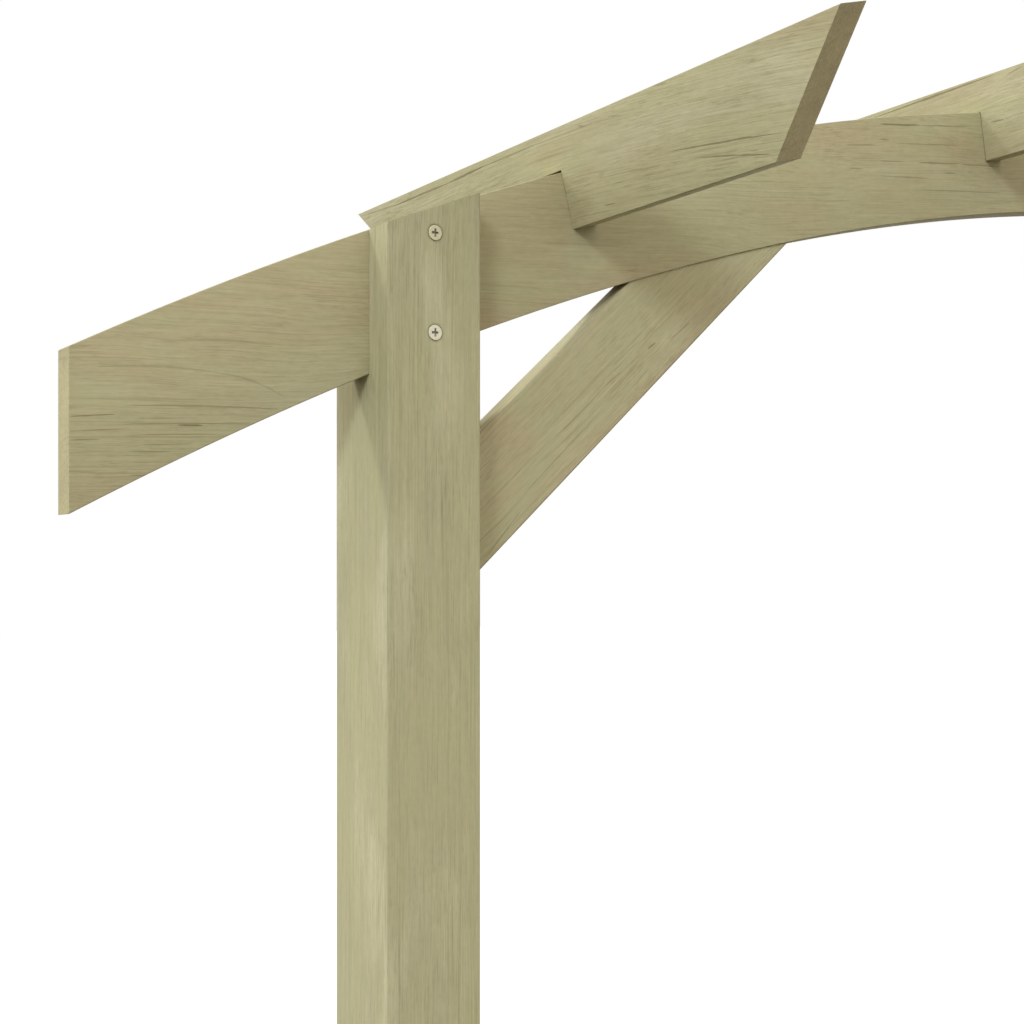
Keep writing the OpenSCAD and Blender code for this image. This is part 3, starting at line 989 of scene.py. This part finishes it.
def makeScrewPaint(look):
    material = bpy.data.materials.new("creamScrewPaint")
    tree = emptyTree(material)
    spot = addNode(tree, "ShaderNodeTexCoord").outputs["Object"]
    cloud, scuffs = (addNode(tree, "ShaderNodeTexNoise", {
        "Vector": spot, "Scale": scale, "Detail": detail}).outputs["Fac"] for scale, detail in look["noises"])
    scuffs = stepped(tree, scuffs, *look["scuffLimits"])
    depth = addNode(tree, "ShaderNodeAttribute", attribute_name="headDepth").outputs["Fac"]
    # Painted shade deep in the cross recess
    recessShadeMask = stepped(tree, depth, *look["recessShadeLimits"])
    darkerPaint = stepped(tree, distance(tree, spot, look["darkerPlace"]), *look["darkerRim"])
    color = mixed(tree, cloud, look["paint"], look["worn"])
    color = mixed(tree, darkerPaint, color, look["darkerPaint"])
    color = mixed(tree, times(tree, scuffs, look["scuffAmount"]), color, look["metal"])
    color = mixed(tree, times(tree, recessShadeMask, look["recessShadeAmount"]), color, look["recessShade"])
    rough = timesPlus(tree, recessShadeMask, look["dirtRoughness"],
                      timesPlus(tree, cloud, look["cloudRoughness"], look["cleanRoughness"]))
    bump = outOf(tree, "ShaderNodeBump", {"Height": cloud, "Strength": 0.2, "Distance": 0.0001})
    shader = outOf(tree, "ShaderNodeBsdfPrincipled", {"Base Color": color, "Roughness": rough, "Normal": bump})
    addNode(tree, "ShaderNodeOutputMaterial", {0: shader})
    return material


screwPaint = makeScrewPaint(screwLook)
screwTree = makeScrewTree()


def setScrews(name, first, second, proud, node):
    places = {"First Place": first[0], "First Turn": first[1], "Pair": second is not None, "Proud": proud}
    if second:
        places.update({"Second Place": second[0], "Second Turn": second[1]})
    piece = bake(name, screwTree, {**screw, **places, "Material": screwPaint})
    place(piece, "screw_metal", node)


def mirroredSpot(spot):
    (x, y, z), (turnX, turnY, turnZ) = spot
    return (-x, y, z), (turnX, -turnY, turnZ)


proud = {"post": 0.0003, "hidden": 0.0, "slat": 0.0}  # how far each kind of head stands out
postSpots, braceSpots = postScrewSpots(), (footScrewSpot(), headScrewSpot())
setScrews("leftPostScrews", *postSpots, proud["post"], "left_post_screws")
setScrews("rightPostScrews", *[mirroredSpot(spot) for spot in postSpots], proud["post"], "right_post_screws")
setScrews("leftBraceScrews", *braceSpots, proud["hidden"], "left_brace_screws")
setScrews("rightBraceScrews", *[mirroredSpot(spot) for spot in braceSpots], proud["hidden"], "right_brace_screws")
setScrews("lapScrews", *lapScrewSpots(), proud["hidden"], "lap_screws")
for name, board in slatPlaces.items():
    setScrews(name.replace("slat", "screw"), slatScrewSpot(board["number"]), None, proud["slat"],
              board["node"].replace("slat", "screw"))
print("screws driven")

# Posts and braces keep the model's own shapes
for node, look in (("left_post", "leftPost"), ("right_post", "rightPost"),
                   ("left_brace", "leftBrace"), ("right_brace", "rightBrace")):
    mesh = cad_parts[node].data
    mesh.materials.clear()
    mesh.materials.append(wood[look])
print("timber ready")

# Floor, light and camera, set for the photograph's view
studio = {
    "floorSize": 60.0,
    "floorTone": (0.80, 0.80, 0.79, 1),
    "floorBounce": (0.078, 0.068, 0.045, 1),
    "skyColor": (1.0, 0.948, 0.886, 1),
    "skyStrength": 1.307,
    "frontLight": {"from": (-0.72, -0.56, 0.42), "strength": 1.10, "softness": 14, "color": (0.86, 0.99, 1.08)},
    "backLight": {"from": (-0.39, 0.484, 0.78), "strength": 1.42, "softness": 8, "color": (0.98, 1.0, 1.05)},
}


def twoFaced(tree, lighting, seen, output):
    # One look for what the camera, mirrors and glass see, and another for the light it gives the piece
    ray = addNode(tree, "ShaderNodeLightPath").outputs
    looking = larger(tree, larger(tree, ray["Is Camera Ray"], ray["Is Glossy Ray"]), ray["Is Transmission Ray"])
    blend = outOf(tree, "ShaderNodeMixShader", {0: looking, 1: lighting, 2: seen})
    addNode(tree, output, {0: blend})


half = studio["floorSize"] / 2
floorMesh = bpy.data.meshes.new("floor")
floorMesh.from_pydata([(-half, -half, 0), (half, -half, 0), (half, half, 0), (-half, half, 0)], [], [(0, 1, 2, 3)])
floor = bpy.data.objects.new("floor", floorMesh)
scene.collection.objects.link(floor)
floorPaint = bpy.data.materials.new("paleFloor")
tree = emptyTree(floorPaint)
bounce, shown = (outOf(tree, "ShaderNodeBsdfDiffuse", {"Color": studio[key]}) for key in ("floorBounce", "floorTone"))
twoFaced(tree, bounce, shown, "ShaderNodeOutputMaterial")
floorMesh.materials.append(floorPaint)

world = bpy.data.worlds.new("studio")
scene.world = world
tree = emptyTree(world)
white = outOf(tree, "ShaderNodeBackground", {"Color": (1, 1, 1, 1), "Strength": 1.0})
sky = outOf(tree, "ShaderNodeBackground", {"Color": studio["skyColor"], "Strength": studio["skyStrength"]})
twoFaced(tree, sky, white, "ShaderNodeOutputWorld")

for name in ("frontLight", "backLight"):
    look = studio[name]
    lamp = bpy.data.lights.new(name, "SUN")
    lamp.energy, lamp.angle, lamp.color = look["strength"], math.radians(look["softness"]), look["color"]
    light = bpy.data.objects.new(name, lamp)
    light.rotation_euler = Vector(look["from"]).to_track_quat("Z", "Y").to_euler()
    scene.collection.objects.link(light)

camera = {
    "place": (-1.4984, -0.8098, 1.7515),
    "turn": -30.19,
    "lens": 50.0,
    "sensor": 36.0,
    "shift": (0.1139, 0.0467),
    "reach": (0.05, 200.0),
}
cameraData = bpy.data.cameras.new("camera")
cameraData.lens, cameraData.sensor_width = camera["lens"], camera["sensor"]
cameraData.shift_x, cameraData.shift_y = camera["shift"]
cameraData.clip_start, cameraData.clip_end = camera["reach"]
cameraObject = bpy.data.objects.new("camera", cameraData)
cameraObject.location = camera["place"]
cameraObject.rotation_euler = (math.radians(90), 0, math.radians(camera["turn"]))
scene.collection.objects.link(cameraObject)
scene.camera = cameraObject
scene.view_settings.view_transform = "Standard"

print("stage ready")
